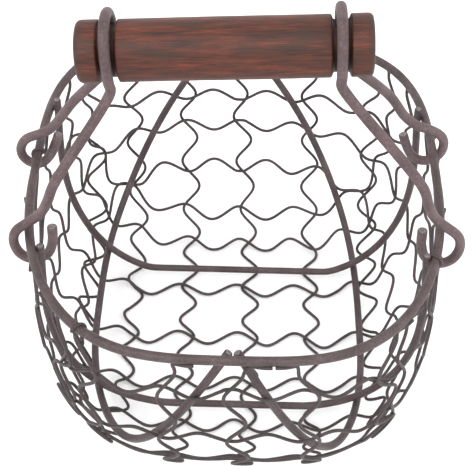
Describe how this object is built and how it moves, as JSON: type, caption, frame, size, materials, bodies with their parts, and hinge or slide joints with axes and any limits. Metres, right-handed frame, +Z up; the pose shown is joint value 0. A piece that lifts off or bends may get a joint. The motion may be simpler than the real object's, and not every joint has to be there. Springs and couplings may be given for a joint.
{
  "type": "egg collection basket",
  "caption": "Wire egg-collecting basket: a round-cornered bowl of wavy netting on hoops and a thick rim, with a wooden grip on two bent handle wires hooked over the rim.",
  "frame": {"origin": "on the ground plane under the middle of the bowl", "axes": "+Z up, +X to the right along the grip, -Y towards the front of the basket as pictured"},
  "size_m": [0.2077, 0.2187, 0.2308],
  "materials": {
    "painted_rim_wire": "matte brown-mauve paint over thick steel wire",
    "painted_hoop_wire": "matte brown-mauve paint over steel wire",
    "painted_net_wire": "matte brown-mauve paint over thin steel wire",
    "painted_handle_wire": "matte brown-mauve paint over thick steel wire",
    "stained_wood": "stained reddish brown, satin, worn ends"
  },
  "bodies": {
    "basket": {"rim_ring": "painted_rim_wire", "hoop_side_to_side_front": "painted_hoop_wire", "hoop_side_to_side_back": "painted_hoop_wire", "hoop_front_to_back_left": "painted_hoop_wire", "hoop_front_to_back_right": "painted_hoop_wire", "net_front_to_back_1": "painted_net_wire", "net_front_to_back_2": "painted_net_wire", "net_front_to_back_3": "painted_net_wire", "net_front_to_back_4": "painted_net_wire", "net_front_to_back_5": "painted_net_wire", "net_front_to_back_6": "painted_net_wire", "net_side_to_side_1": "painted_net_wire", "net_side_to_side_2": "painted_net_wire", "net_side_to_side_3": "painted_net_wire", "net_side_to_side_4": "painted_net_wire", "net_side_to_side_5": "painted_net_wire", "net_side_to_side_6": "painted_net_wire", "net_side_to_side_7": "painted_net_wire", "net_ring_1": "painted_net_wire", "net_ring_2": "painted_net_wire", "net_ring_3": "painted_net_wire"},
    "left_handle_wire": {"handle_wire_left": "painted_handle_wire"},
    "right_handle_wire": {"handle_wire_right": "painted_handle_wire"},
    "wooden_grip": {"grip": "stained_wood"}
  },
  "joints": [
    {"name": "left_wire_rock", "type": "hinge", "parent": "basket", "child": "left_handle_wire", "pos_m": [-0.09173, -0.0095, 0.127], "axis": [0, 1, 0], "range_deg": [-5, 5]},
    {"name": "right_wire_rock", "type": "hinge", "parent": "basket", "child": "right_handle_wire", "pos_m": [0.09194, -0.00425, 0.127], "axis": [0, 1, 0], "range_deg": [-4.36, 4.36]},
    {"name": "grip_rock", "type": "hinge", "parent": "left_handle_wire", "child": "wooden_grip", "pos_m": [-0.05211, -0.008, 0.20707], "axis": [0, 1, 0], "range_deg": [-9.53, 9.53]}
  ],
  "couplings": [
    {"joint": "right_wire_rock", "follows": "left_wire_rock", "ratio": 0.8703},
    {"joint": "grip_rock", "follows": "left_wire_rock", "ratio": -1.9035}
  ]
}
